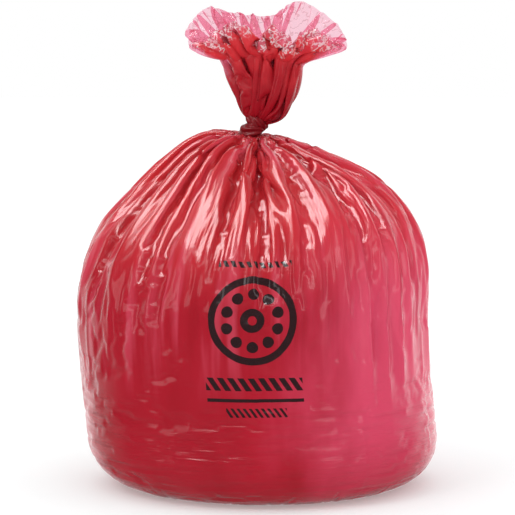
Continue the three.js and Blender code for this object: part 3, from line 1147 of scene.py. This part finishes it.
def make_waste():
    finish = Finish("loose waste")
    place = finish.node("ShaderNodeTexCoord", {}, {}, "Object")
    blots = finish.spots(place, 11.0, 3.0)
    colour = finish.between(blots, WASTE_DARK, WASTE_LIGHT)
    crumple = finish.spots(place, 40.0, 4.0)
    normal = finish.node("ShaderNodeBump", {}, {"Strength": 0.6, "Distance": 0.01, "Height": crumple})
    shell = finish.node("ShaderNodeBsdfPrincipled", {}, {
        "Base Color": colour, "Roughness": 0.85, "Normal": normal,
    })
    return finish.show(shell)


# Stage

FLOOR_SIZE = 12
FLOOR_COLOUR = (0.78, 0.83, 0.83)
FLOOR_GLOW = 0.27
SENSOR_WIDTH = 36

# Lights: name, place, what they point at, width, height, brightness, and whether they only show in gloss
LIGHTS = (
    ("sun_side", (-1.2, -1.6, 1.9), (0, 0, 0.3), 0.9, 0.9, 3.0, False),
    ("top_card", (-0.62, -0.50, 1.9), (-0.05, -0.05, 0.4), 1.35, 1.35, 15, True),
    ("left_card", (-1.9, -1.1, 0.70), (0, 0, 0.3), 1.0, 0.9, 1.8, True),
    ("front_card", (-0.4, -2.3, 1.7), (0, 0, 0.3), 1.8, 0.35, 3.5, True),
    ("right_card", (1.5, -1.5, 0.95), (0, 0, 0.3), 0.7, 1.2, 2.0, True),
)


def make_floor():
    clear_selection()
    bpy.ops.mesh.primitive_plane_add(size=FLOOR_SIZE, location=(0, 0, 0))
    floor = bpy.context.object
    floor.name = "floor"
    finish = Finish("pale floor")
    shell = finish.node("ShaderNodeBsdfPrincipled", {}, {
        "Base Color": (*FLOOR_COLOUR, 1), "Roughness": 1.0, "Specular IOR Level": 0.0,
        "Emission Color": (1, 1, 1, 1), "Emission Strength": FLOOR_GLOW,
    })
    floor.data.materials.append(finish.show(shell))
    floor.visible_glossy = False


def make_softbox(name, place, target, width, height, brightness, mirrored_only):
    """A flat, even light. One that is only mirrored shows in gloss and lights nothing else."""
    light = bpy.data.lights.new(name, "AREA")
    light.shape = "RECTANGLE"
    light.size = width
    light.size_y = height
    light.energy = brightness * width * height * math.pi
    box = bpy.data.objects.new(name, light)
    bpy.context.scene.collection.objects.link(box)
    box.location = place
    box.rotation_euler = (Vector(target) - Vector(place)).to_track_quat("-Z", "Y").to_euler()
    box.visible_camera = False
    if mirrored_only:
        box.visible_diffuse = False
        box.visible_transmission = False


def world_ramp(tree, direction, reach, brightness):
    """Goes smoothly from one brightness to another over a reach of a direction's part."""
    made = tree.nodes.new("ShaderNodeMapRange")
    made.interpolation_type = "SMOOTHSTEP"
    names = ("From Min", "From Max", "To Min", "To Max")
    for name, value in zip(names, (*reach, *brightness)):
        made.inputs[name].default_value = value
    tree.links.new(direction, made.inputs["Value"])
    return made.outputs["Result"]


def world_math(tree, operation, first, second):
    made = tree.nodes.new("ShaderNodeMath")
    made.operation = operation
    tree.links.new(first, made.inputs[0])
    tree.links.new(second, made.inputs[1])
    return made.outputs[0]


def make_world():
    """White to the eye. In gloss it is dark in front and bright behind, as a tent with an open front is."""
    world = bpy.data.worlds.new("studio")
    bpy.context.scene.world = world
    world.use_nodes = True
    tree = world.node_tree
    tree.nodes.clear()
    paths = tree.nodes.new("ShaderNodeLightPath")
    place = tree.nodes.new("ShaderNodeTexCoord")
    split = tree.nodes.new("ShaderNodeSeparateXYZ")
    tree.links.new(place.outputs["Generated"], split.inputs["Vector"])
    tent = world_ramp(tree, split.outputs["Y"], (0.0, 0.85), (TENT_DARK, TENT_BRIGHT))
    ground = world_ramp(tree, split.outputs["Z"], (-0.15, -0.55), (0.0, GROUND_BRIGHT))
    above = world_ramp(tree, split.outputs["Z"], (-0.50, -0.16), (LOW_TENT_SHARE, 1.0))
    in_gloss = world_math(tree, "ADD", world_math(tree, "MULTIPLY", tent, above), ground)
    strength = tree.nodes.new("ShaderNodeMix")
    tree.links.new(paths.outputs["Is Glossy Ray"], strength.inputs["Factor"])
    strength.inputs["A"].default_value = WORLD_LIGHT
    tree.links.new(in_gloss, strength.inputs["B"])
    background = tree.nodes.new("ShaderNodeBackground")
    background.inputs["Color"].default_value = (1, 1, 1, 1)
    tree.links.new(strength.outputs["Result"], background.inputs["Strength"])
    output = tree.nodes.new("ShaderNodeOutputWorld")
    tree.links.new(background.outputs[0], output.inputs["Surface"])


def make_lights():
    make_world()
    for light in LIGHTS:
        make_softbox(*light)


def make_camera():
    lens = bpy.data.cameras.new("view")
    camera = bpy.data.objects.new("view", lens)
    bpy.context.scene.collection.objects.link(camera)
    back = Vector((0, -math.cos(VIEW_ELEVATION), math.sin(VIEW_ELEVATION)))
    camera.location = VIEW_TARGET + back * VIEW_DISTANCE
    camera.rotation_euler = (math.pi / 2 - VIEW_ELEVATION, 0, 0)
    lens.sensor_width = SENSOR_WIDTH
    lens.lens = SENSOR_WIDTH * VIEW_DISTANCE / VIEW_WIDTH
    bpy.context.scene.camera = camera


def dress(piece, material, slot, *nodes):
    piece.data.materials.clear()
    piece.data.materials.append(material)
    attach(piece, "root")
    if nodes:
        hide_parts(*nodes)


make_camera()
make_lights()
make_floor()
body = make_body()
ruff = make_ruff()
dress(body, make_body_film(), "red_film", "film_bag")
dress(ruff, make_ruff_film(), "red_film")
dress(make_knot(), make_knot_film(), "red_film")
dress(make_load(), make_waste(), "soft_waste", "waste_load")

bpy.context.scene.view_settings.view_transform = "Standard"
bpy.context.scene.cycles.transparent_max_bounces = 32
